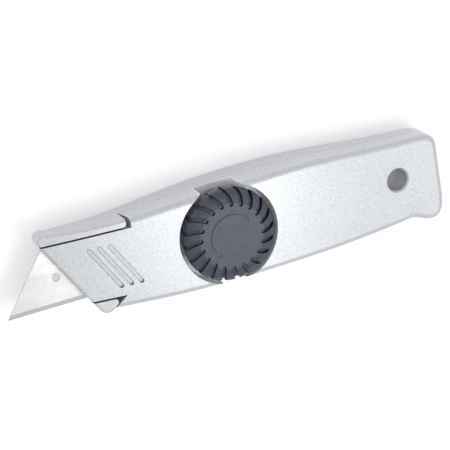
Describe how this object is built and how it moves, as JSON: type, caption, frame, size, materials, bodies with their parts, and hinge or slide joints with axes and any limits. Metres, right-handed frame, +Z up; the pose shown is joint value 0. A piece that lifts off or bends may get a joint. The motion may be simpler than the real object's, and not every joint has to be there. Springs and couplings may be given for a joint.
{
  "type": "utility knife",
  "caption": "Fixed-blade utility knife: two interlocking die-cast handle halves clamped by a fluted round thumb knob, trapezoid blade, spare blades inside and a hang hole.",
  "frame": {"origin": "middle of the bounding box in X and Y, on the flat land of the back half that the knife lies on", "axes": "+X runs from the blade tip to the tail, +Y from the cutting-edge side to the spine, +Z up along the knob axis out of the knob"},
  "size_m": [0.1476, 0.032, 0.0205],
  "materials": {
    "cast_silver": "speckled silver die-casting, satin",
    "knob_plastic": "blue-grey moulded plastic, fine matte",
    "blade_steel": "rolled spring steel with a ground bevel",
    "fastener_steel": "bright zinc-plated steel",
    "insert_brass": "turned brass",
    "tray_plastic": "moulded plastic"
  },
  "bodies": {
    "handle": {"back_casting": "cast_silver", "threaded_insert": "insert_brass", "cutting_blade": "blade_steel", "blade_hole_pin": "fastener_steel", "blade_notch_pin": "fastener_steel", "nose_dowel": "fastener_steel", "tail_dowel": "fastener_steel", "magazine_tray": "tray_plastic", "magazine_spring": "fastener_steel", "spring_rivet": "fastener_steel", "spare_blade_1": "blade_steel", "spare_blade_2": "blade_steel", "spare_blade_3": "blade_steel", "spare_blade_4": "blade_steel", "spare_blade_5": "blade_steel"},
    "cover": {"cover_casting": "cast_silver", "spring_washer": "fastener_steel"},
    "screw_carrier": {"thrust_washer": "fastener_steel", "retaining_clip": "fastener_steel"},
    "knob": {"knob_cap": "knob_plastic", "clamp_screw": "fastener_steel"}
  },
  "joints": [
    {"name": "cover_lift", "type": "slide", "parent": "handle", "child": "cover", "axis": [0, 0, 1], "range_m": [0, 0.025]},
    {"name": "knob_rise", "type": "slide", "parent": "cover", "child": "screw_carrier", "axis": [0, 0, 1], "range_m": [0, 0.0015]},
    {"name": "knob_turn", "type": "hinge", "parent": "screw_carrier", "child": "knob", "pos_m": [-0.00263, 0.00047, 0.0115], "axis": [0, 0, 1], "range_deg": [0, 540]}
  ],
  "couplings": [
    {"joint": "knob_rise", "follows": "knob_turn", "m_per_rad": 0.00015915}
  ]
}
